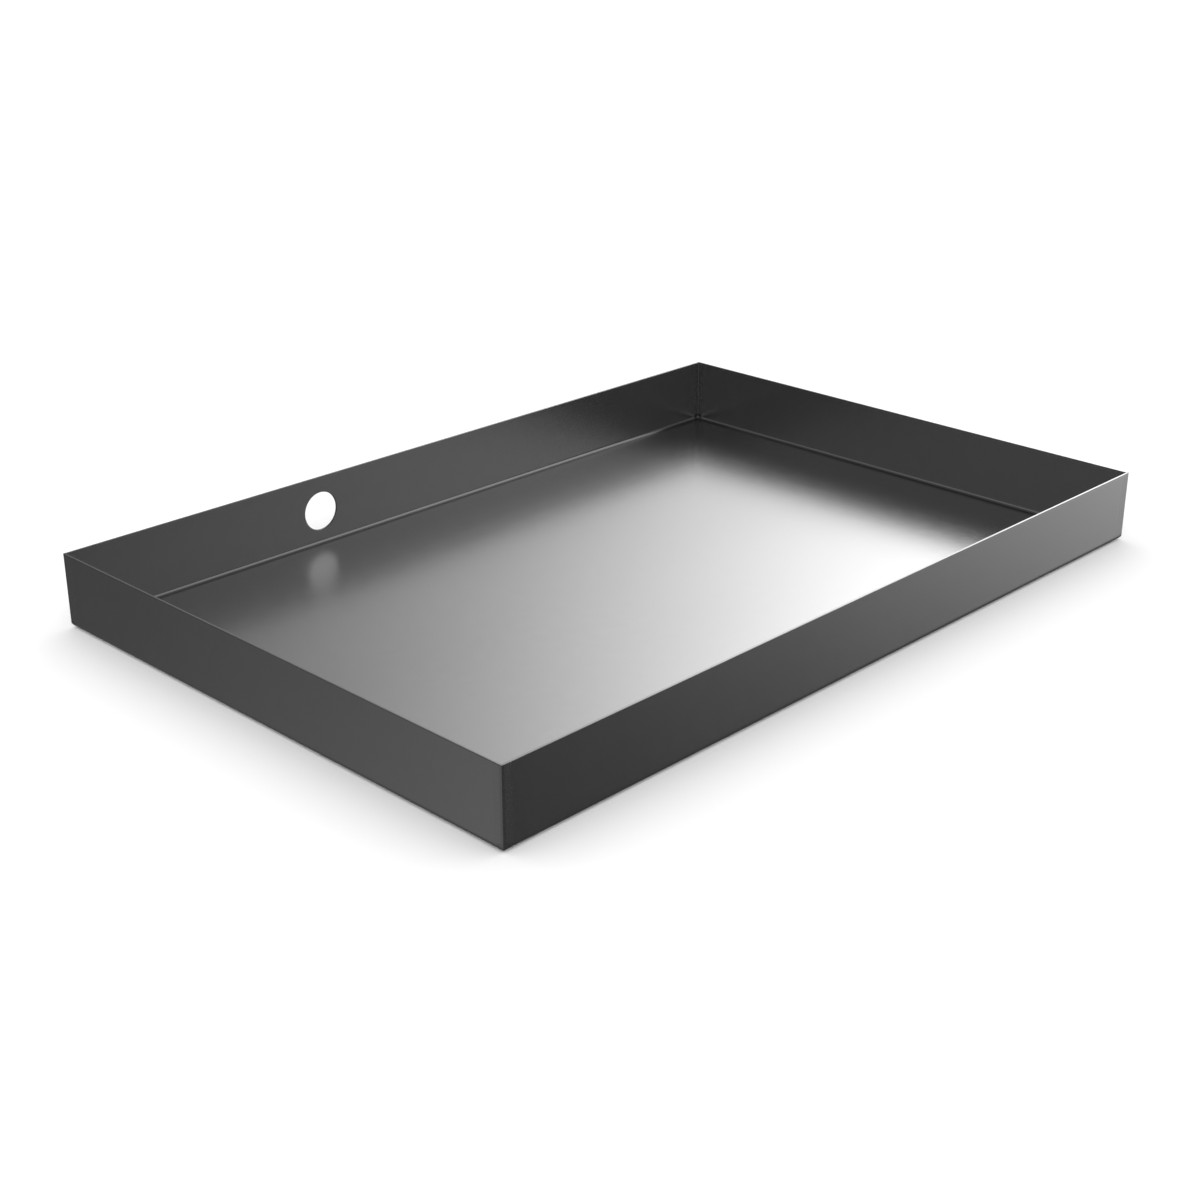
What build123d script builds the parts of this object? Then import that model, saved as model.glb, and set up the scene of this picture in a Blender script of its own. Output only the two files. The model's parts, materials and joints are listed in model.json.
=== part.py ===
from build123d import *

import os

# Oil drain pan: an open tray folded from one sheet of steel, its four corners closed by welds.
#
# The blank is a rectangle with a square notch in each corner. Its four edges are folded up into
# walls, so the floor, the walls and the bends between them are one piece of metal. Where two walls
# meet, their ends stop just short of each other. That leaves a square groove outside, which a
# full-height weld fills and which is then ground flush. A small relief opening, where two bends
# run into each other at the foot of the corner, is closed by the same weld.
#
# Frame: millimetres, +Z up, origin at the centre of the underside. X runs along the long side,
# Y along the short side, and the drain hole is in the long wall on the +Y side.

INCH = 25.4

# Driving dimensions
LENGTH = 30 * INCH  # outside, along X
WIDTH = 20 * INCH  # outside, along Y
HEIGHT = 2.5 * INCH  # floor underside to rim
SHEET = 1.9  # 14 gauge sheet
BEND_INSIDE = 3.2  # inside radius of the four folds
RIM_BREAK = 0.3  # radius left on the sheared rim when it is deburred

HOLE_DIAMETER = 1.375 * INCH  # clears a 1 inch pipe fitting
HOLE_FROM_LEFT_END = LENGTH / 3

ROOT_GAP = 0.5  # how far each wall's end stops short of the other wall's inside face
RELIEF_RADIUS = 5.5  # size of the opening where two bends meet
ROOT_BEAD_RADIUS = 1.2  # weld metal that shows along the inside corner
GROUND_EDGE_RADIUS = 0.8  # rounding left by the grinder on the outside corner

# Values that follow from them
BEND_OUTSIDE = BEND_INSIDE + SHEET
HOLE_X = -LENGTH / 2 + HOLE_FROM_LEFT_END
GROOVE_X = LENGTH / 2 - SHEET  # inside corner line of the two walls
GROOVE_Y = WIDTH / 2 - SHEET

CORNERS = {
    "front_left": (-1, -1),
    "front_right": (1, -1),
    "back_right": (1, 1),
    "back_left": (-1, 1),
}


def make_folded_block(length, width, floor_height, bend_radius):
    """A block up to the rim whose four bottom edges are rounded as the folds are."""
    with BuildPart() as block:
        with Locations((0, 0, floor_height)):
            Box(
                length,
                width,
                HEIGHT - floor_height,
                align=(Align.CENTER, Align.CENTER, Align.MIN),
            )
        bottom_edges = block.faces().sort_by(Axis.Z)[0].edges()
        fillet(bottom_edges, radius=bend_radius)
    return block.part


def make_formed_shell():
    """The whole folded tray with its corners closed, before it is divided into sheet and weld."""
    cavity = make_folded_block(2 * GROOVE_X, 2 * GROOVE_Y, SHEET, BEND_INSIDE)
    with BuildPart() as shell:
        add(make_folded_block(LENGTH, WIDTH, 0, BEND_OUTSIDE))
        add(cavity, mode=Mode.SUBTRACT)
        rim_edges = shell.edges().group_by(Axis.Z)[-1]
        fillet(rim_edges, radius=RIM_BREAK)
    return shell.part


def make_corner_zone(side_x, side_y):
    """The space at one corner that weld metal takes up: the square groove and the relief."""
    wall_end_x, wall_end_y = GROOVE_X - ROOT_GAP, GROOVE_Y - ROOT_GAP
    with BuildPart() as zone:
        with Locations((side_x * wall_end_x, side_y * wall_end_y, 0)):
            Box(
                2 * SHEET,
                2 * SHEET,
                2 * HEIGHT,
                align=(
                    Align.MIN if side_x > 0 else Align.MAX,
                    Align.MIN if side_y > 0 else Align.MAX,
                    Align.CENTER,
                ),
            )
        with Locations((side_x * GROOVE_X, side_y * GROOVE_Y, SHEET)):
            Sphere(RELIEF_RADIUS)
    return zone.part


def make_ground_outline():
    """A block with the pan's outline and the rounding that grinding leaves on its corners."""
    with BuildPart() as outline:
        Box(LENGTH, WIDTH, 2 * HEIGHT)
        fillet(outline.edges().filter_by(Axis.Z), radius=GROUND_EDGE_RADIUS)
    return outline.part


def make_corner_weld(name, side_x, side_y, shell, outline):
    """One corner weld: the shell inside the corner zone, with a root bead on the inside."""
    with BuildPart() as weld:
        add(shell)
        add(make_corner_zone(side_x, side_y), mode=Mode.INTERSECT)
        add(outline, mode=Mode.INTERSECT)
        bead_plane = Plane.XY.offset(RELIEF_RADIUS)
        with BuildSketch(bead_plane):
            with Locations((side_x * GROOVE_X, side_y * GROOVE_Y)):
                Circle(ROOT_BEAD_RADIUS)
                Rectangle(
                    ROOT_BEAD_RADIUS,
                    ROOT_BEAD_RADIUS,
                    align=(
                        Align.MAX if side_x > 0 else Align.MIN,
                        Align.MAX if side_y > 0 else Align.MIN,
                    ),
                    mode=Mode.INTERSECT,
                )
        extrude(amount=HEIGHT - RELIEF_RADIUS - 2 * RIM_BREAK)
    weld.part.label = name
    return weld.part


formed_shell = make_formed_shell()
ground_outline = make_ground_outline()

# The folded sheet: floor, four walls and the bends between them
with BuildPart() as folded_pan:
    add(formed_shell)
    for side_x, side_y in CORNERS.values():
        add(make_corner_zone(side_x, side_y), mode=Mode.SUBTRACT)
    with BuildSketch(Plane.XZ.offset(-WIDTH / 2)):
        with Locations((HOLE_X, HEIGHT / 2)):
            Circle(HOLE_DIAMETER / 2)
    extrude(amount=2 * SHEET, mode=Mode.SUBTRACT)
folded_pan.part.label = "folded_pan"

# The welds that close the corners
corner_welds = [
    make_corner_weld(f"corner_weld_{place}", side_x, side_y, formed_shell, ground_outline)
    for place, (side_x, side_y) in CORNERS.items()
]

os.makedirs("parts", exist_ok=True)
for part in [folded_pan.part, *corner_welds]:
    export_step(part, f"parts/{part.label}.step")
    print(f"{part.label}: {part.volume:.1f} mm3")
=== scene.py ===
import json
import math

import bmesh
import bpy
from mathutils import Matrix, Vector, noise


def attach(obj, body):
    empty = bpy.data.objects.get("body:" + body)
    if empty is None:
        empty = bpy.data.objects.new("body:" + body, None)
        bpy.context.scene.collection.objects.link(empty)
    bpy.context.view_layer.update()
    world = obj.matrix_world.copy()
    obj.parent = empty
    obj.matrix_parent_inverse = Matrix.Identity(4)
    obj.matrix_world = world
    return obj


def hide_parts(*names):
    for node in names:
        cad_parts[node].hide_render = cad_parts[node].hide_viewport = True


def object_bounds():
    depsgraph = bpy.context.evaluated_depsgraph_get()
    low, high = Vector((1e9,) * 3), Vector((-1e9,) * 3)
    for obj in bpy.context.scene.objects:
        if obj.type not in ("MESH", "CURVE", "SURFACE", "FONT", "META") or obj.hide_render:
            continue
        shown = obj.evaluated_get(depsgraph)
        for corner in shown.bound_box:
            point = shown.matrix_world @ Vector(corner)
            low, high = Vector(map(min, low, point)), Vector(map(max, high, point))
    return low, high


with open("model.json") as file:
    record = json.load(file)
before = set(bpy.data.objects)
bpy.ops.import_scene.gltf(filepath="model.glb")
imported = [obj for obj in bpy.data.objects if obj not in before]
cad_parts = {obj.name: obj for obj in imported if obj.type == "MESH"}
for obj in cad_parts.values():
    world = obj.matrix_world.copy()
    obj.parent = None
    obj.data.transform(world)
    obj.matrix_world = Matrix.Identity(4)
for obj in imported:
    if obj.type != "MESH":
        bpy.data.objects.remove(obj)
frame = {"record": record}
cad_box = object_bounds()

# The looks of the oil drain pan: a tray folded from one sheet of steel with welded corners.
# The sheet and each weld are modelled again here as fine meshes, which stand for the CAD nodes.
# Everything is in metres, in the frame of the CAD model: +Z up, X along the long side,
# the drain hole in the long wall on the +Y side.

MM = 0.001

# Sizes that come from the frame
HALF_LENGTH, HALF_WIDTH, HEIGHT = Vector(cad_box[1])
DRAIN_HOLE = next(mount for mount in frame["record"]["mounts"] if mount["name"] == "drain_hole")
SHEET = DRAIN_HOLE["dims"]["length_mm"] * MM
HOLE_RADIUS = DRAIN_HOLE["dims"]["r_mm"] * MM
HOLE_X = DRAIN_HOLE["pos_m"][0]
HOLE_Z = DRAIN_HOLE["pos_m"][2]

# Details of the folded sheet and its welds. The edge radii are a little finer or added here,
# and the rest are as in the CAD model.
BEND_INSIDE = 3.2 * MM
BEND_OUTSIDE = BEND_INSIDE + SHEET
RIM_RADIUS = 0.35 * MM
HOLE_EDGE_RADIUS = 0.3 * MM
ROOT_GAP = 0.5 * MM
RELIEF_RADIUS = 5.5 * MM
ROOT_BEAD_RADIUS = 1.2 * MM
GROUND_EDGE_RADIUS = 0.8 * MM

# How finely the sheet's mesh is divided
BEND_STEPS = 10
RIM_STEPS = 4
PATCH_STEPS = 20
PATCH_HALF = 1.25 * HOLE_RADIUS
PATCH_BLENDS = (0.45, 0.8)
COLUMN_SPACING = 8 * MM
BEAD_SIDES = 32
BEAD_ROW_SPACING = 0.3 * MM
MERGE_DISTANCE = 0.002 * MM
CREASE_ANGLE = 35

# The welds' look on the inside
RIPPLE_PITCH = 2.2 * MM
RIPPLE_ARCH = 0.9 * MM
RIPPLE_DEPTH = 0.14
BEAD_UNEVENNESS = 0.08
BEAD_UNEVEN_PITCH = 6 * MM
BEAD_TAPER = 1.5 * MM
PUDDLE_RADIUS = 2.4 * MM
PUDDLE_INSET = 1.7 * MM
PUDDLE_UNEVENNESS = 0.05
PUDDLE_LUMP = 1.6 * MM

# How far the bent sheet departs from flat
FLOOR_RISE = 0.25 * MM
WALL_LEAN = 0.3 * MM
SWELL_PITCH_X = 0.17
SWELL_PITCH_Y = 0.15

CORNERS = {
    "front_left": (-1, -1),
    "front_right": (1, -1),
    "back_right": (1, 1),
    "back_left": (-1, 1),
}


def even_steps(start, end, count):
    """Evenly spaced values from start to end, both included."""
    return [start + (end - start) * step / count for step in range(count + 1)]


def arc(center, radius, start_angle, end_angle, steps):
    """Points of an arc in a section plane, both ends included. Angles are in degrees."""
    angles = [math.radians(angle) for angle in even_steps(start_angle, end_angle, steps)]
    return [(center[0] + radius * math.cos(a), center[1] + radius * math.sin(a)) for a in angles]


def wall_heights():
    """Heights of the mesh rows on a flat wall, with a fine even band where the drain hole is."""
    band_low, band_high = HOLE_Z - PATCH_HALF, HOLE_Z + PATCH_HALF
    below = even_steps(BEND_OUTSIDE, band_low, 3)[1:-1]
    above = even_steps(band_high, HEIGHT - RIM_RADIUS, 4)[1:-1]
    return below + even_steps(band_low, band_high, PATCH_STEPS) + above


def wall_profile():
    """Section of a wall as (distance inwards from its outside face, height).

    It runs from the edge of the flat underside, up the outside, over the rim and down the
    inside to the edge of the flat floor.
    """
    bend_center = (BEND_OUTSIDE, BEND_OUTSIDE)
    rim_center_height = HEIGHT - RIM_RADIUS
    outside_rim = arc((RIM_RADIUS, rim_center_height), RIM_RADIUS, 180, 90, RIM_STEPS)
    inside_rim = arc((SHEET - RIM_RADIUS, rim_center_height), RIM_RADIUS, 90, 0, RIM_STEPS)
    heights = wall_heights()
    return (
        arc(bend_center, BEND_OUTSIDE, 270, 180, BEND_STEPS)
        + [(0, height) for height in heights]
        + outside_rim
        + inside_rim
        + [(SHEET, height) for height in reversed(heights)]
        + arc(bend_center, BEND_INSIDE, 180, 270, BEND_STEPS)
    )


def long_side_columns():
    """Places of the mesh columns along X as shares of the half length, finer at the drain hole."""
    patch_start, patch_end = HOLE_X - PATCH_HALF, HOLE_X + PATCH_HALF
    left_count = round((patch_start + HALF_LENGTH) / COLUMN_SPACING)
    right_count = round((HALF_LENGTH - patch_end) / COLUMN_SPACING)
    places = (
        even_steps(-HALF_LENGTH, patch_start, left_count)[:-1]
        + even_steps(patch_start, patch_end, PATCH_STEPS)
        + even_steps(patch_end, HALF_LENGTH, right_count)[1:]
    )
    return [place / HALF_LENGTH for place in places]


def short_side_columns():
    """Places of the mesh columns along Y as shares of the half width."""
    return even_steps(-1, 1, round(2 * HALF_WIDTH / COLUMN_SPACING))


def build_formed_shell():
    """The closed surface of the folded tray before the corners are divided off, as a bmesh."""
    columns_x, columns_y = long_side_columns(), short_side_columns()
    profile = wall_profile()
    last_x, last_y = len(columns_x) - 1, len(columns_y) - 1
    around = (
        [(i, 0) for i in range(last_x)]
        + [(last_x, j) for j in range(last_y)]
        + [(i, last_y) for i in range(last_x, 0, -1)]
        + [(0, j) for j in range(last_y, 0, -1)]
    )
    shell = bmesh.new()

    def add_vertex(i, j, offset, height):
        return shell.verts.new(
            (columns_x[i] * (HALF_LENGTH - offset), columns_y[j] * (HALF_WIDTH - offset), height)
        )

    rings = [
        {place: add_vertex(*place, offset, height) for place in around}
        for offset, height in profile
    ]
    for lower, upper in zip(rings, rings[1:]):
        for place, following in zip(around, around[1:] + around[:1]):
            shell.faces.new((lower[place], lower[following], upper[following], upper[place]))
    underside = (rings[0], profile[0], False)
    floor_top = (rings[-1], profile[-1], True)
    for ring, (offset, height), facing_up in (underside, floor_top):
        grid = dict(ring)
        for i in range(1, last_x):
            for j in range(1, last_y):
                grid[i, j] = add_vertex(i, j, offset, height)
        for i in range(last_x):
            for j in range(last_y):
                corners = [grid[i, j], grid[i + 1, j], grid[i + 1, j + 1], grid[i, j + 1]]
                shell.faces.new(corners if facing_up else reversed(corners))
    return shell


def angle_around_hole(vertex):
    return math.atan2(vertex.co.z - HOLE_Z, vertex.co.x - HOLE_X)


def open_wall_at_hole(shell, wall_y):
    """Takes a square of faces out of one side of the wall and returns the square's vertices."""
    tolerance = 0.01 * MM
    inside = [
        face
        for face in shell.faces
        if abs(face.calc_center_median().y - wall_y) < tolerance
        and abs(face.calc_center_median().x - HOLE_X) < PATCH_HALF
        and abs(face.calc_center_median().z - HOLE_Z) < PATCH_HALF
    ]
    counts = {}
    for face in inside:
        for edge in face.edges:
            counts[edge] = counts.get(edge, 0) + 1
    border = {vertex for edge, count in counts.items() if count == 1 for vertex in edge.verts}
    bmesh.ops.delete(shell, geom=inside, context="FACES")
    return sorted(border, key=angle_around_hole)


def hole_section():
    """The hole's edge as (distance from the hole's axis, distance inwards from the outside face)."""
    reach = HOLE_RADIUS + HOLE_EDGE_RADIUS
    outside_edge = arc((reach, HOLE_EDGE_RADIUS), HOLE_EDGE_RADIUS, 270, 180, RIM_STEPS)
    inside_edge = arc((reach, SHEET - HOLE_EDGE_RADIUS), HOLE_EDGE_RADIUS, 180, 90, RIM_STEPS)
    return outside_edge + inside_edge


def punch_drain_hole(shell):
    """Puts the round hole in the wall on the +Y side, with a fan of quads around it."""
    outside = open_wall_at_hole(shell, HALF_WIDTH)
    inside = open_wall_at_hole(shell, HALF_WIDTH - SHEET)
    section = hole_section()

    def ring_at(border, distance, depth, share):
        """A ring between the square border, at share 0, and the circle, at share 1."""
        vertices = []
        for vertex in border:
            angle = angle_around_hole(vertex)
            circle_x = HOLE_X + distance * math.cos(angle)
            circle_z = HOLE_Z + distance * math.sin(angle)
            vertices.append(
                shell.verts.new(
                    (
                        vertex.co.x + (circle_x - vertex.co.x) * share,
                        HALF_WIDTH - depth,
                        vertex.co.z + (circle_z - vertex.co.z) * share,
                    )
                )
            )
        return vertices

    first, last = section[0], section[-1]
    rings = [outside]
    rings += [ring_at(outside, *first, share) for share in PATCH_BLENDS]
    rings += [ring_at(outside, *point, 1) for point in section]
    rings += [ring_at(inside, *last, share) for share in reversed(PATCH_BLENDS)]
    rings += [inside]
    for ring, following in zip(rings, rings[1:]):
        count = len(ring)
        for here in range(count):
            after = (here + 1) % count
            shell.faces.new((ring[here], ring[after], following[after], following[here]))


def new_object(name, mesh_data):
    """An object in the scene that holds the mesh data."""
    thing = bpy.data.objects.new(name, mesh_data)
    bpy.context.scene.collection.objects.link(thing)
    return thing


def object_from_bmesh(name, source):
    """Turns a bmesh into an object of the scene, with its faces pointing outwards."""
    bmesh.ops.recalc_face_normals(source, faces=source.faces)
    mesh_data = bpy.data.meshes.new(name)
    source.to_mesh(mesh_data)
    source.free()
    return new_object(name, mesh_data)


def apply_modifiers(thing):
    """Makes the result of the object's modifiers its own mesh."""
    depsgraph = bpy.context.evaluated_depsgraph_get()
    result = bpy.data.meshes.new_from_object(thing.evaluated_get(depsgraph))
    thing.modifiers.clear()
    thing.data = result


def combine(thing, tool, operation):
    """A boolean of the thing with the tool, which stays as it is."""
    modifier = thing.modifiers.new(operation.lower(), "BOOLEAN")
    modifier.operation = operation
    modifier.solver = "EXACT"
    modifier.object = tool
    apply_modifiers(thing)


def remove(*things):
    for thing in things:
        bpy.data.objects.remove(thing)


def make_corner_zone(side_x, side_y):
    """The space at one corner that weld metal takes up: the square groove and the relief."""
    wall_end_x = HALF_LENGTH - SHEET - ROOT_GAP
    wall_end_y = HALF_WIDTH - SHEET - ROOT_GAP
    groove = bmesh.new()
    block = Matrix.Diagonal((2 * SHEET, 2 * SHEET, 3 * HEIGHT, 1))
    place = Vector((side_x * (wall_end_x + SHEET), side_y * (wall_end_y + SHEET), HEIGHT / 2))
    bmesh.ops.create_cube(groove, size=1, matrix=Matrix.Translation(place) @ block)
    zone = object_from_bmesh("corner_zone", groove)
    ball = bmesh.new()
    center = Vector((side_x * (HALF_LENGTH - SHEET), side_y * (HALF_WIDTH - SHEET), SHEET))
    bmesh.ops.create_icosphere(
        ball, subdivisions=4, radius=RELIEF_RADIUS, matrix=Matrix.Translation(center)
    )
    relief = object_from_bmesh("relief", ball)
    combine(zone, relief, "UNION")
    remove(relief)
    return zone


def smooth_shading(thing, crease_angle):
    """Smooth shading with flat faces kept flat and edges past the crease angle kept sharp."""
    for face in thing.data.polygons:
        face.use_smooth = True
    thing.data.set_sharp_from_angle(angle=math.radians(crease_angle))
    weighted = thing.modifiers.new("weighted_normals", "WEIGHTED_NORMAL")
    weighted.keep_sharp = True
    weighted.weight = 100
    apply_modifiers(thing)


def ripple_height(height, angle):
    """How far the root bead stands out at a height and an angle around it, as a share of its radius."""
    arched = height + RIPPLE_ARCH * (angle - math.pi / 4) ** 2
    along = arched / RIPPLE_PITCH % 1
    uneven = noise.noise(Vector((0, 0, height / BEAD_UNEVEN_PITCH)))
    return 1 - RIPPLE_DEPTH * (1 - along) ** 2 + BEAD_UNEVENNESS * uneven


def make_root_bead(side_x, side_y):
    """The rippled bead that shows along the inside corner, as a closed tube.

    Its foot starts inside the metal of the bends, so that no gap is left above the puddle.
    """
    bead = bmesh.new()
    bottom, top = BEND_INSIDE, HEIGHT - 2 * RIM_RADIUS
    rows = even_steps(bottom, top, round((top - bottom) / BEAD_ROW_SPACING))
    rings = []
    for height in rows:
        taper = min(1, math.sqrt(max(0, top - height) / BEAD_TAPER) + 0.3)
        ring = []
        for angle in even_steps(0, 2 * math.pi, BEAD_SIDES)[:-1]:
            reach = ROOT_BEAD_RADIUS * taper * ripple_height(height, angle)
            across_x = HALF_LENGTH - SHEET - reach * math.cos(angle)
            across_y = HALF_WIDTH - SHEET - reach * math.sin(angle)
            ring.append(bead.verts.new((side_x * across_x, side_y * across_y, height)))
        rings.append(ring)
    for ring, following in zip(rings, rings[1:]):
        for here in range(BEAD_SIDES):
            after = (here + 1) % BEAD_SIDES
            bead.faces.new((ring[here], ring[after], following[after], following[here]))
    bead.faces.new(rings[0])
    bead.faces.new(rings[-1])
    return object_from_bmesh("root_bead", bead)


def make_puddle(side_x, side_y):
    """The lump of weld metal that closes the relief, on the inside, at the foot of the corner."""
    puddle = bmesh.new()
    bmesh.ops.create_icosphere(puddle, subdivisions=5, radius=PUDDLE_RADIUS)
    seed = Vector((7 * side_x, 11 * side_y, 0))
    for vertex in puddle.verts:
        unevenness = noise.noise(vertex.co / PUDDLE_LUMP + seed)
        vertex.co *= 1 + PUDDLE_UNEVENNESS * unevenness
    inwards = SHEET + PUDDLE_INSET
    place = (side_x * (HALF_LENGTH - inwards), side_y * (HALF_WIDTH - inwards), inwards)
    bmesh.ops.translate(puddle, vec=place, verts=puddle.verts)
    return object_from_bmesh("puddle", puddle)


def make_corner_weld(name, side_x, side_y, shell, zone):
    """One weld: what fills the groove and the relief, with its bead and puddle inside.

    The bead and the puddle run a little way into the sheet beside them, where they don't show.
    """
    weld = new_object(f"weld_{name}", shell.data.copy())
    combine(weld, zone, "INTERSECT")
    inside_metal = make_root_bead(side_x, side_y)
    puddle = make_puddle(side_x, side_y)
    combine(inside_metal, puddle, "UNION")
    combine(weld, inside_metal, "UNION")
    remove(inside_metal, puddle)
    return weld


def round_ground_edge(thing):
    """Rolls the outside corner edge over by the radius that grinding leaves on it."""
    for vertex in thing.data.vertices:
        short_x = GROUND_EDGE_RADIUS - (HALF_LENGTH - abs(vertex.co.x))
        short_y = GROUND_EDGE_RADIUS - (HALF_WIDTH - abs(vertex.co.y))
        if short_x > 0 and short_y > 0:
            shrink = GROUND_EDGE_RADIUS / math.hypot(short_x, short_y)
            if shrink < 1:
                vertex.co.x -= math.copysign(short_x * (1 - shrink), vertex.co.x)
                vertex.co.y -= math.copysign(short_y * (1 - shrink), vertex.co.y)


def tidy_mesh(thing):
    """Joins vertices that a boolean left on top of each other."""
    cleaned = bmesh.new()
    cleaned.from_mesh(thing.data)
    bmesh.ops.remove_doubles(cleaned, verts=cleaned.verts, dist=MERGE_DISTANCE)
    bmesh.ops.dissolve_degenerate(cleaned, edges=cleaned.edges, dist=MERGE_DISTANCE)
    cleaned.to_mesh(thing.data)
    cleaned.free()


def relax_sheet(thing):
    """Gives the folded sheet the slight unevenness that bending leaves: the floor rises a little
    in its middle and the walls lean in a little between their corners."""
    for vertex in thing.data.vertices:
        along_x = max(0, 1 - (vertex.co.x / (HALF_LENGTH - 4 * BEND_OUTSIDE)) ** 2)
        along_y = max(0, 1 - (vertex.co.y / (HALF_WIDTH - 4 * BEND_OUTSIDE)) ** 2)
        up_wall = max(0, vertex.co.z - BEND_OUTSIDE) / HEIGHT
        swell = noise.noise(Vector((vertex.co.x / SWELL_PITCH_X, vertex.co.y / SWELL_PITCH_Y, 3)))
        if vertex.co.z < BEND_OUTSIDE:
            vertex.co.z += FLOOR_RISE * along_x * along_y * (1 + swell)
        if abs(vertex.co.y) > HALF_WIDTH - BEND_OUTSIDE:
            vertex.co.y -= math.copysign(WALL_LEAN * along_x**2 * up_wall**2, vertex.co.y)
        if abs(vertex.co.x) > HALF_LENGTH - BEND_OUTSIDE:
            vertex.co.x -= math.copysign(WALL_LEAN * along_y**2 * up_wall**2, vertex.co.x)


def make_pan_meshes():
    """The folded sheet, and the four welds by the name of their corner."""
    shell_mesh = build_formed_shell()
    punch_drain_hole(shell_mesh)
    sheet = object_from_bmesh("drain_pan_sheet", shell_mesh)
    shell = new_object("formed_shell", sheet.data.copy())
    welds = {}
    for name, (side_x, side_y) in CORNERS.items():
        zone = make_corner_zone(side_x, side_y)
        combine(sheet, zone, "DIFFERENCE")
        welds[name] = make_corner_weld(name, side_x, side_y, shell, zone)
        remove(zone)
    remove(shell)
    relax_sheet(sheet)
    for thing in [sheet, *welds.values()]:
        tidy_mesh(thing)
    for weld in welds.values():
        round_ground_edge(weld)
    for thing in [sheet, *welds.values()]:
        smooth_shading(thing, CREASE_ANGLE)
    return sheet, welds


# The steel's finish
SHEET_ROUGHNESS = 0.25
WELD_ROUGHNESS = 0.32
RELIEF_DEPTH = 0.004 * MM
WELD_LUMPS = 9.0
WELD_DULLNESS = 0.12
WARM_TINT = (1.01, 1.0, 1.005, 1)
COOL_TINT = (0.99, 0.998, 1.025, 1)
HEAT_TINT = (0.93, 0.84, 0.74, 1)
HEAT_TINT_SHARE = 0.08


class Shader:
    """Short calls that add nodes to one material's or world's tree and link them."""

    def __init__(self, tree):
        self.tree = tree
        tree.nodes.clear()

    def connect(self, source, socket):
        """Links a node's output to the socket, or sets the socket to a plain value."""
        if isinstance(source, bpy.types.NodeSocket):
            self.tree.links.new(source, socket)
        else:
            socket.default_value = source

    def add(self, kind, settings=None, **inputs):
        """A new node. Spaces in an input's name are written as underscores."""
        node = self.tree.nodes.new(kind)
        for setting, value in (settings or {}).items():
            setattr(node, setting, value)
        for name, source in inputs.items():
            self.connect(source, node.inputs[name.replace("_", " ")])
        return node

    def math(self, operation, *sources):
        node = self.add("ShaderNodeMath", {"operation": operation})
        for source, socket in zip(sources, node.inputs):
            self.connect(source, socket)
        return node.outputs["Value"]

    def total(self, first, *others):
        for other in others:
            first = self.math("ADD", first, other)
        return first

    def product(self, first, *others):
        for other in others:
            first = self.math("MULTIPLY", first, other)
        return first

    def swing(self, pattern, strength):
        """The pattern's departure from its middle, 0.5, times the strength."""
        return self.product(self.math("SUBTRACT", pattern, 0.5), strength)

    def step(self, value, low, high, at_low=0.0, at_high=1.0):
        """A soft step of the value from low to high."""
        node = self.add(
            "ShaderNodeMapRange",
            {"interpolation_type": "SMOOTHSTEP"},
            Value=value,
            From_Min=low,
            From_Max=high,
            To_Min=at_low,
            To_Max=at_high,
        )
        return node.outputs["Result"]

    def noise(self, place, scale, detail=2.0, roughness=0.5):
        """Soft noise around 0.5."""
        node = self.add(
            "ShaderNodeTexNoise",
            Vector=place,
            Scale=scale,
            Detail=detail,
            Roughness=roughness,
        )
        return node.outputs["Fac"]

    def mapped(self, place, scale=(1, 1, 1), turn=0.0):
        """The place turned about Z, in degrees, and then scaled."""
        turned = self.add(
            "ShaderNodeVectorRotate",
            {"rotation_type": "Z_AXIS"},
            Vector=place,
            Angle=math.radians(turn),
        )
        node = self.add("ShaderNodeVectorMath", {"operation": "MULTIPLY"})
        self.connect(turned.outputs["Vector"], node.inputs[0])
        self.connect(scale, node.inputs[1])
        return node.outputs["Vector"]

    def combined(self, x, y, z):
        return self.add("ShaderNodeCombineXYZ", X=x, Y=y, Z=z).outputs["Vector"]

    def separated(self, vector):
        node = self.add("ShaderNodeSeparateXYZ", Vector=vector)
        return node.outputs["X"], node.outputs["Y"], node.outputs["Z"]

    def mix(self, factor, first, second, blend="MIX"):
        """A mix of two colours."""
        node = self.add("ShaderNodeMix", {"data_type": "RGBA", "blend_type": blend})
        colors = [socket for socket in node.inputs if socket.type == "RGBA"]
        self.connect(factor, node.inputs[0])
        self.connect(first, colors[0])
        self.connect(second, colors[1])
        return next(socket for socket in node.outputs if socket.type == "RGBA")

    def gray(self, value):
        return self.combined(value, value, value)


def blank_place(shader, x, y, z):
    """The point's place on the flat blank, before the walls were folded up.

    The rolling grain of the sheet follows it, so the grain turns upwards on the short walls.
    """
    on_short_wall = shader.step(
        shader.math("ABSOLUTE", x), HALF_LENGTH - BEND_OUTSIDE, HALF_LENGTH - SHEET
    )
    on_long_wall = shader.step(
        shader.math("ABSOLUTE", y), HALF_WIDTH - BEND_OUTSIDE, HALF_WIDTH - SHEET
    )
    blank_x = shader.total(x, shader.product(z, on_short_wall, shader.math("SIGN", x)))
    blank_y = shader.total(y, shader.product(z, on_long_wall, shader.math("SIGN", y)))
    return shader.combined(blank_x, blank_y, 0.0)


def scratches(shader, place, turn, density):
    """Thin broken lines at an angle to X, 1 on a line and 0 elsewhere."""
    stretched = shader.mapped(place, (9, 420, 1), turn)
    field = shader.noise(stretched, 1.0, 1.0)
    off_line = shader.math("ABSOLUTE", shader.math("SUBTRACT", field, 0.5))
    line = shader.step(off_line, 0.0, 0.008, 1.0, 0.0)
    patches = shader.noise(shader.mapped(place, (30, 60, 1), turn), 1.0, 2.0)
    return shader.product(line, shader.step(patches, 1 - density, 1.08 - density))


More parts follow.
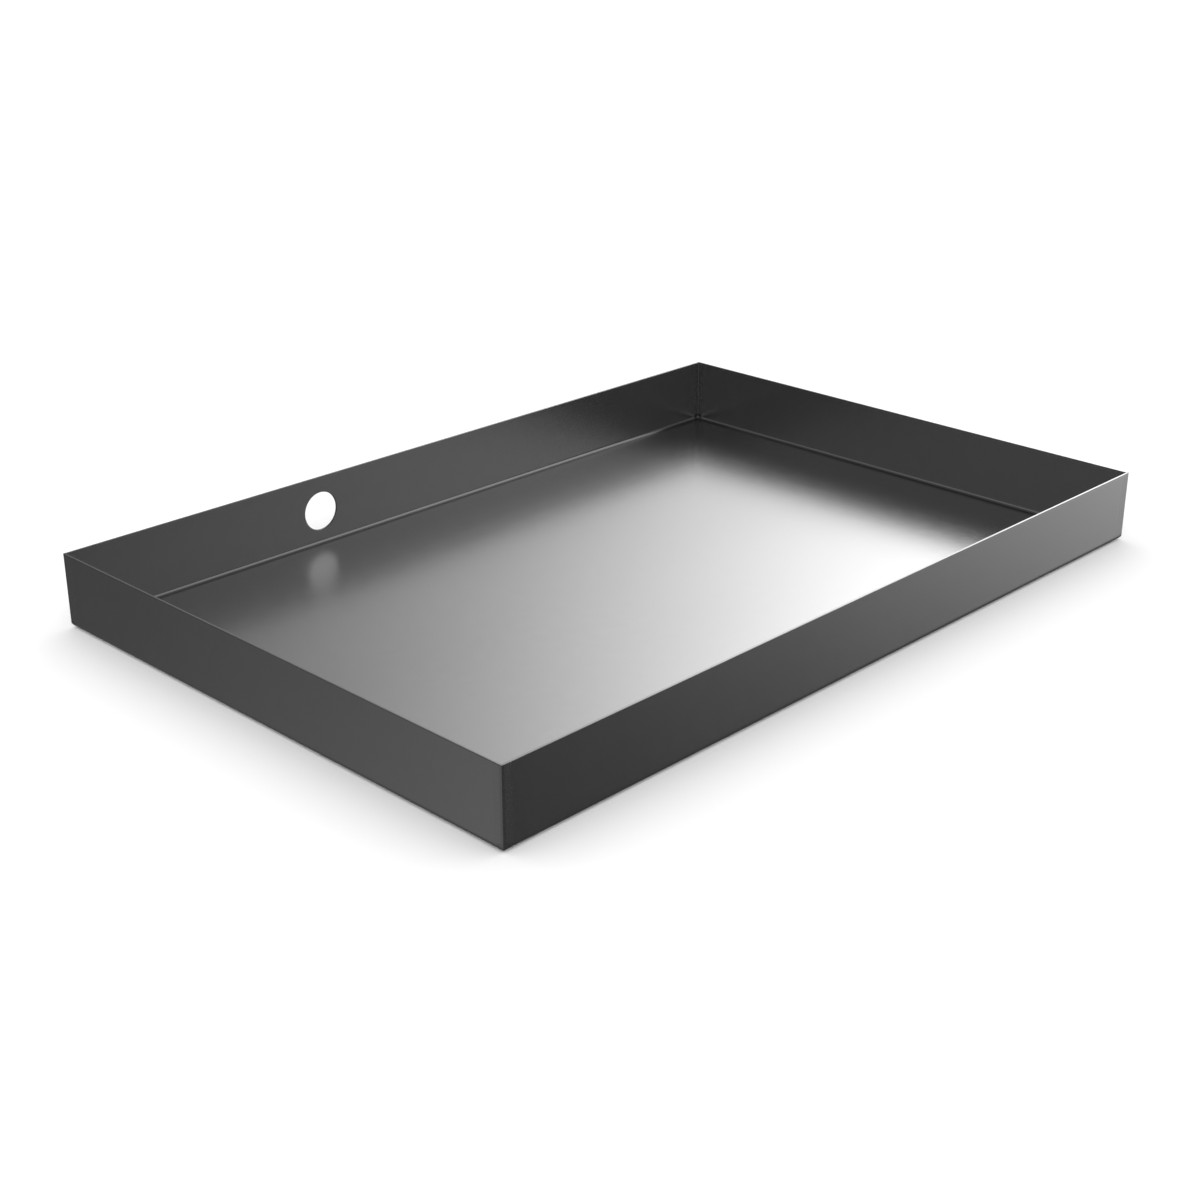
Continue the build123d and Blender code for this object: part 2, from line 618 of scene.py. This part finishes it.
def wear_masks(shader, x, y, z):
    """Masks of the sheared edges, on the rim and in the hole, and of the rubbed outside bends."""
    place = shader.combined(x, y, z)
    broken = shader.step(shader.noise(place, 260.0, 4.0, 0.6), 0.35, 0.6)
    rim = shader.step(z, HEIGHT - 0.9 * MM, HEIGHT - 0.25 * MM)
    from_axis = shader.math(
        "SQRT",
        shader.total(
            shader.math("POWER", shader.math("SUBTRACT", x, HOLE_X), 2.0),
            shader.math("POWER", shader.math("SUBTRACT", z, HOLE_Z), 2.0),
        ),
    )
    at_hole = shader.product(
        shader.step(from_axis, HOLE_RADIUS + 0.2 * MM, HOLE_RADIUS + 0.9 * MM, 1.0, 0.0),
        shader.step(y, HALF_WIDTH - 2 * SHEET, HALF_WIDTH - 1.5 * SHEET),
    )
    out_x = shader.math("SUBTRACT", HALF_LENGTH, shader.math("ABSOLUTE", x))
    out_y = shader.math("SUBTRACT", HALF_WIDTH, shader.math("ABSOLUTE", y))
    to_outside = shader.math("MINIMUM", out_x, out_y)
    bend = shader.product(
        shader.step(shader.total(to_outside, z), 1.6 * MM, 3.6 * MM, 1.0, 0.0),
        broken,
    )
    return shader.math("MAXIMUM", rim, at_hole), bend


def corner_distances(shader, x, y):
    """Level distances from the nearest upright corner edge and from the nearest outside face."""
    out_x = shader.math("SUBTRACT", HALF_LENGTH, shader.math("ABSOLUTE", x))
    out_y = shader.math("SUBTRACT", HALF_WIDTH, shader.math("ABSOLUTE", y))
    return shader.math("MAXIMUM", out_x, out_y), shader.math("MINIMUM", out_x, out_y)


def surface_marks(shader, place):
    """The patterns and masks of the steel's surface, by name."""
    x, y, z = shader.separated(place)
    blank = blank_place(shader, x, y, z)
    mottle = shader.noise(place, 90.0, 5.0, 0.6)
    scuff = shader.math(
        "MAXIMUM",
        shader.math("MAXIMUM", scratches(shader, blank, 8, 0.42), scratches(shader, blank, -27, 0.36)),
        scratches(shader, blank, 64, 0.38),
    )
    edge, bend = wear_masks(shader, x, y, z)
    normal_z = shader.separated(shader.add("ShaderNodeNewGeometry").outputs["Normal"])[2]
    corner, corner_inset = corner_distances(shader, x, y)
    ground_reach = shader.total(5.5 * MM, shader.product(mottle, 5 * MM))
    past_ground = shader.math("SUBTRACT", corner, ground_reach)
    heat_start = shader.step(corner, 7 * MM, 11 * MM)
    heat_end = shader.step(corner, 12 * MM, 24 * MM, 1.0, 0.0)
    return {
        "cloud": shader.noise(place, 7.0, 3.0, 0.55),
        "mottle": mottle,
        "speck": shader.noise(place, 900.0, 2.0),
        "grain": shader.noise(shader.mapped(blank, (45, 1500, 1)), 1.0, 3.0, 0.6),
        "scuff": scuff,
        "edge": edge,
        "bend": bend,
        "under": shader.step(normal_z, -0.98, -0.8, 1.0, 0.0),
        "ground": shader.step(past_ground, -1.5 * MM, 1.5 * MM, 1.0, 0.0),
        "ground_lines": shader.noise(
            shader.combined(x, y, shader.product(z, 26.0)), 140.0, 3.0, 0.65
        ),
        "heat_ring": shader.product(heat_start, heat_end),
        "as_welded": shader.step(
            shader.math("MINIMUM", corner_inset, z), SHEET, SHEET + 0.4 * MM
        ),
        "lumps": shader.noise(place, 500.0, 4.0, 0.6),
    }


def steel_color(shader, marks, base):
    """Clouds and mottling of the mill skin, lighter on rubbed bends and darker where it is sheared."""
    ground_shade = shader.math("SUBTRACT", marks["ground_lines"], 0.55)
    under_shade = shader.math("SUBTRACT", marks["mottle"], 0.6)
    shade = shader.total(
        1.0,
        shader.swing(marks["cloud"], 0.06),
        shader.swing(marks["mottle"], 0.08),
        shader.swing(marks["speck"], 0.06),
        shader.swing(marks["grain"], 0.06),
        shader.product(marks["scuff"], 0.05),
        shader.product(marks["edge"], -0.2),
        shader.product(marks["bend"], 0.06),
        shader.product(marks["ground"], ground_shade, 0.2),
        shader.product(marks["under"], under_shade, 0.5),
    )
    tint = shader.mix(marks["cloud"], WARM_TINT, COOL_TINT)
    heated = shader.mix(shader.product(marks["heat_ring"], HEAT_TINT_SHARE), tint, HEAT_TINT)
    tinted = shader.mix(1.0, (*base, 1), heated, "MULTIPLY")
    return shader.mix(1.0, tinted, shader.gray(shade), "MULTIPLY")


def steel_dullness(shader, marks, roughness):
    """Roughness of the uneven skin, duller where it is scratched, ground or underneath."""
    return shader.total(
        roughness,
        shader.swing(marks["cloud"], 0.03),
        shader.swing(marks["mottle"], 0.045),
        shader.swing(marks["speck"], 0.04),
        shader.product(marks["scuff"], 0.015),
        shader.product(marks["ground"], 0.03),
        shader.product(marks["under"], 0.08),
    )


def steel_relief(shader, marks):
    """Rolling grain and fine pits, with grinding lines by the corners."""
    return shader.total(
        marks["grain"],
        shader.product(marks["speck"], 0.8),
        marks["mottle"],
        shader.product(marks["ground"], marks["ground_lines"], 2.0),
    )


def make_steel(name, base, roughness, is_weld):
    """Bare mill steel with a satin finish. Weld metal is darker, rougher and ground outside."""
    material = bpy.data.materials.new(name)
    material.use_nodes = True
    shader = Shader(material.node_tree)
    place = shader.add("ShaderNodeTexCoord").outputs["Object"]
    marks = surface_marks(shader, place)
    dullness = steel_dullness(shader, marks, roughness)
    relief = steel_relief(shader, marks)
    if is_weld:
        lumps = shader.product(marks["lumps"], marks["as_welded"], WELD_LUMPS)
        relief = shader.total(relief, lumps)
        dullness = shader.total(dullness, shader.product(marks["as_welded"], WELD_DULLNESS))
    bump = shader.add("ShaderNodeBump", Strength=1.0, Distance=RELIEF_DEPTH, Height=relief)
    surface = shader.add(
        "ShaderNodeBsdfPrincipled",
        Base_Color=steel_color(shader, marks, base),
        Roughness=dullness,
        Normal=bump.outputs["Normal"],
        Metallic=1.0,
    )
    shader.add("ShaderNodeOutputMaterial", Surface=surface.outputs["BSDF"])
    return material


# Soft lights around the pan, as the steel sees them: direction as an angle from +X towards +Y
# and an angle above the floor, softness as the angle at which the light is down to six tenths, and
# strength. All angles are in degrees.
SOFT_LIGHTS = {
    "key": (20, 28, 13, 5.2),
    "side": (-20, -2, 11, 2.9),
    "front_right": (-40, 25, 15, 0.9),
    "camera_side": (-130, 20, 20, 0.6),
    "camera_low": (-130, -20, 20, 0.25),
    "left": (150, 20, 15, 0.36),
    "left_low": (145, -32, 12, 0.35),
    "back": (80, 25, 20, 0.3),
    "back_low": (50, -25, 20, 0.3),
    "overhead": (0, 90, 20, 0.2),
}
STUDIO_GLOW = 0.01
FLOOR_GLOW = 0.06
FLOOR_GLOW_DEPTH = 0.3
BACKDROP = 1.3

FLOOR_HALF_SIZE = 30.0
FLOOR_DROP = 0.2 * MM
FLOOR_SHADE = 0.9

CAMERA_PLACE = (-1.075, -1.012, 0.616)
CAMERA_TARGET = (-0.0455, -0.0137, 0)
CAMERA_LENS_MM = 56.25
CAMERA_SENSOR_MM = 36


def make_studio():
    """White surroundings, in which the steel reflects soft lights against a dim studio."""
    world = bpy.data.worlds.new("studio")
    bpy.context.scene.world = world
    world.use_nodes = True
    world.cycles.sampling_method = "NONE"
    shader = Shader(world.node_tree)
    generated = shader.add("ShaderNodeTexCoord").outputs["Generated"]
    direction = shader.add("ShaderNodeVectorMath", {"operation": "NORMALIZE"}, Vector=generated)
    upwards = shader.separated(direction.outputs["Vector"])[2]
    light = shader.step(upwards, -FLOOR_GLOW_DEPTH, 0.0, STUDIO_GLOW + FLOOR_GLOW, STUDIO_GLOW)
    for turn, rise, softness, strength in SOFT_LIGHTS.values():
        turn, rise = math.radians(turn), math.radians(rise)
        axis = (math.cos(rise) * math.cos(turn), math.cos(rise) * math.sin(turn), math.sin(rise))
        facing = shader.add("ShaderNodeVectorMath", {"operation": "DOT_PRODUCT"})
        shader.connect(direction.outputs["Vector"], facing.inputs[0])
        shader.connect(axis, facing.inputs[1])
        sharpness = 1 / math.radians(softness) ** 2
        falloff = shader.math("SUBTRACT", facing.outputs["Value"], 1.0)
        lobe = shader.math("EXPONENT", shader.product(falloff, sharpness))
        light = shader.total(light, shader.product(lobe, strength))
    is_glossy = shader.add("ShaderNodeLightPath").outputs["Is Glossy Ray"]
    color = shader.mix(is_glossy, (BACKDROP, BACKDROP, BACKDROP, 1), shader.gray(light))
    background = shader.add("ShaderNodeBackground", Color=color)
    shader.add("ShaderNodeOutputWorld", Surface=background.outputs["Background"])


def make_floor():
    """A plain pale floor that the steel doesn't mirror."""
    plane = bmesh.new()
    bmesh.ops.create_grid(plane, x_segments=1, y_segments=1, size=FLOOR_HALF_SIZE)
    bmesh.ops.translate(plane, vec=(0, 0, -FLOOR_DROP), verts=plane.verts)
    floor = object_from_bmesh("studio_floor", plane)
    floor.visible_glossy = False
    material = bpy.data.materials.new("pale_floor")
    material.use_nodes = True
    shader = Shader(material.node_tree)
    surface = shader.add("ShaderNodeBsdfDiffuse", Color=(FLOOR_SHADE, FLOOR_SHADE, FLOOR_SHADE, 1))
    shader.add("ShaderNodeOutputMaterial", Surface=surface.outputs["BSDF"])
    floor.data.materials.append(material)


def make_camera():
    """The camera at the photograph's viewing angle: from the front left, a little above the pan."""
    eye = Vector(CAMERA_PLACE)
    target = Vector(CAMERA_TARGET)
    lens_data = bpy.data.cameras.new("camera")
    lens_data.lens = CAMERA_LENS_MM
    lens_data.sensor_width = CAMERA_SENSOR_MM
    lens_data.clip_start = 0.01
    camera = new_object("camera", lens_data)
    camera.location = eye
    camera.rotation_euler = (target - eye).to_track_quat("-Z", "Y").to_euler()
    bpy.context.scene.camera = camera


def finish_of(slot):
    """The base colour that the record gives a material slot."""
    return next(m["base_color"] for m in frame["record"]["materials"] if m["slot"] == slot)


sheet, welds = make_pan_meshes()
sheet.data.materials.append(make_steel("mill_steel", finish_of("sheet_steel"), SHEET_ROUGHNESS, False))
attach(sheet, "root")
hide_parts("folded_pan")
weld_metal = make_steel("weld_metal", finish_of("weld_steel"), WELD_ROUGHNESS, True)
for corner_name, weld in welds.items():
    weld.data.materials.append(weld_metal)
    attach(weld, "root")
    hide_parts(f"corner_weld_{corner_name}")

make_studio()
make_floor()
make_camera()
bpy.context.scene.view_settings.view_transform = "Standard"
